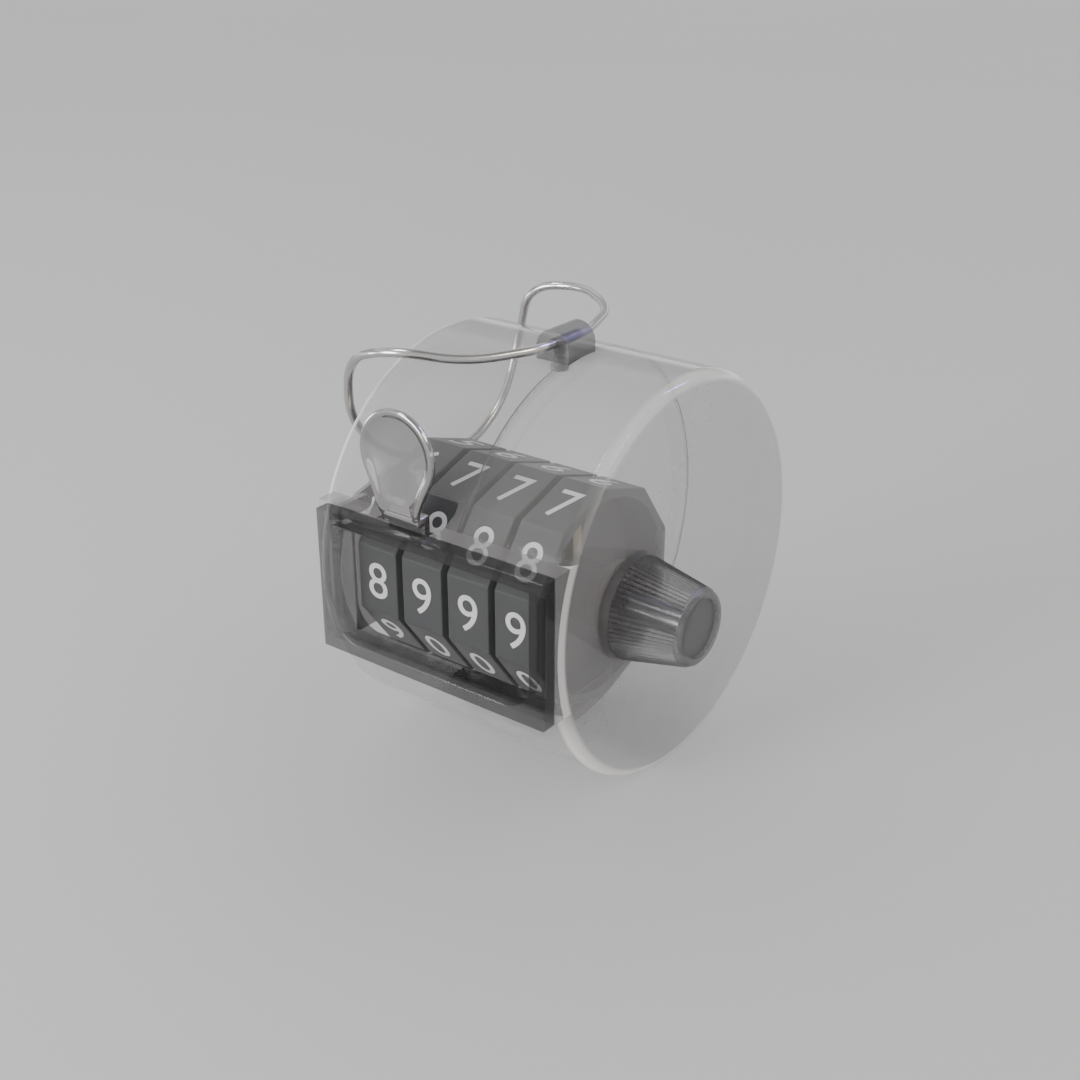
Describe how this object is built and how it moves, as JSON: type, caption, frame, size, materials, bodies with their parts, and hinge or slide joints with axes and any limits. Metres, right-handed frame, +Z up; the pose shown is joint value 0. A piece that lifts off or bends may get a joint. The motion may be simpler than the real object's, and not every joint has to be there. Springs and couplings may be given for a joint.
{
  "type": "hand tally counter",
  "caption": "hand tally counter: clear drum case with number wheels behind a dark window bezel, thumb lever, ribbed reset knob and bent wire finger ring",
  "frame": {"origin": "centre of the flat left end face of the drum", "axes": "+X along the drum's axis towards the reset knob, -Y out of the reading window, +Z up towards the finger ring's lug"},
  "size_m": [0.0432, 0.0474, 0.0483],
  "materials": {
    "clear": "clear moulded shell",
    "pane": "clear flat pane",
    "smoked": "smoky see-through plastic",
    "wheel": "smoky plastic with white digits",
    "ratchet": "dark moulded",
    "dark_bush": "dark brown bearing plastic",
    "chrome": "polished",
    "steel": "plain",
    "spring_steel": "spring temper",
    "brass": "plain"
  },
  "bodies": {
    "case": {"left_shell": "clear", "right_shell": "clear", "window_bezel": "smoked", "window_pane": "pane", "side_plate": "dark_bush", "ring_lug": "smoked", "lug_rivet": "steel", "shaft_bush_left": "dark_bush", "shaft_bush_right": "dark_bush", "lever_pin": "steel", "detent_rod": "steel", "detent_comb": "spring_steel", "return_spring": "spring_steel"},
    "reset": {"main_shaft": "steel", "shaft_spacer": "dark_bush", "reset_knob": "smoked", "knob_cap": "smoked"},
    "lever": {"thumb_lever": "chrome", "lever_crank": "steel", "lever_crank_pin": "steel"},
    "driver": {"driver_arm": "steel", "driver_crank_pin": "steel", "pawl_rod": "steel"},
    "link": {"drive_link": "steel"},
    "pawl": {"pawl_comb": "spring_steel"},
    "ring": {"finger_ring": "chrome"},
    "wheel_1": {"number_wheel_1": "wheel", "ratchet_1": "ratchet", "reset_dog_1": "brass"},
    "wheel_2": {"number_wheel_2": "wheel", "ratchet_2": "ratchet", "reset_dog_2": "brass"},
    "wheel_3": {"number_wheel_3": "wheel", "ratchet_3": "ratchet", "reset_dog_3": "brass"},
    "wheel_4": {"number_wheel_4": "wheel", "ratchet_4": "ratchet", "reset_dog_4": "brass"}
  },
  "joints": [
    {"name": "lever_press", "type": "hinge", "parent": "case", "child": "lever", "pos_m": [0.0132, -0.02185, 0.0077], "axis": [-1, 0, 0], "range_deg": [0, 36], "stiffness_Nm_per_rad": 0.04, "springref_deg": -20.05},
    {"name": "knob_turn", "type": "hinge", "parent": "case", "child": "reset", "pos_m": [0.0326, -0.0104, 0.0011], "axis": [-1, 0, 0], "continuous": true},
    {"name": "driver_swing", "type": "hinge", "parent": "case", "child": "driver", "pos_m": [0.003, -0.0104, 0.0011], "axis": [-1, 0, 0], "range_deg": [0, 36]},
    {"name": "link_swing", "type": "hinge", "parent": "driver", "child": "link", "pos_m": [0.0022, -0.0068, 0.0011], "axis": [-1, 0, 0], "range_deg": [-36, 0]},
    {"name": "pawl_lift", "type": "hinge", "parent": "driver", "child": "pawl", "pos_m": [0.014, 0.00299, 0.00346], "axis": [1, 0, 0], "range_deg": [0, 8], "stiffness_Nm_per_rad": 0.002, "springref_deg": -17.19},
    {"name": "ring_swing", "type": "hinge", "parent": "case", "child": "ring", "pos_m": [0.0176, -0.0015, 0.0242], "axis": [0, 1, 0], "range_deg": [0, 180]},
    {"name": "wheel_1_turn", "type": "hinge", "parent": "reset", "child": "wheel_1", "pos_m": [0.00825, -0.0104, 0.0011], "axis": [-1, 0, 0], "continuous": true},
    {"name": "wheel_2_turn", "type": "hinge", "parent": "reset", "child": "wheel_2", "pos_m": [0.01435, -0.0104, 0.0011], "axis": [-1, 0, 0], "continuous": true},
    {"name": "wheel_3_turn", "type": "hinge", "parent": "reset", "child": "wheel_3", "pos_m": [0.02045, -0.0104, 0.0011], "axis": [-1, 0, 0], "continuous": true},
    {"name": "wheel_4_turn", "type": "hinge", "parent": "reset", "child": "wheel_4", "pos_m": [0.02655, -0.0104, 0.0011], "axis": [-1, 0, 0], "continuous": true}
  ],
  "couplings": [
    {"joint": "driver_swing", "follows": "lever_press", "ratio": 1},
    {"joint": "link_swing", "follows": "lever_press", "ratio": -1},
    {"joint": "wheel_1_turn", "follows": "lever_press", "ratio": 1},
    {"joint": "wheel_2_turn", "follows": "lever_press", "ratio": 1},
    {"joint": "wheel_3_turn", "follows": "lever_press", "ratio": 1},
    {"joint": "wheel_4_turn", "follows": "lever_press", "ratio": 1}
  ]
}
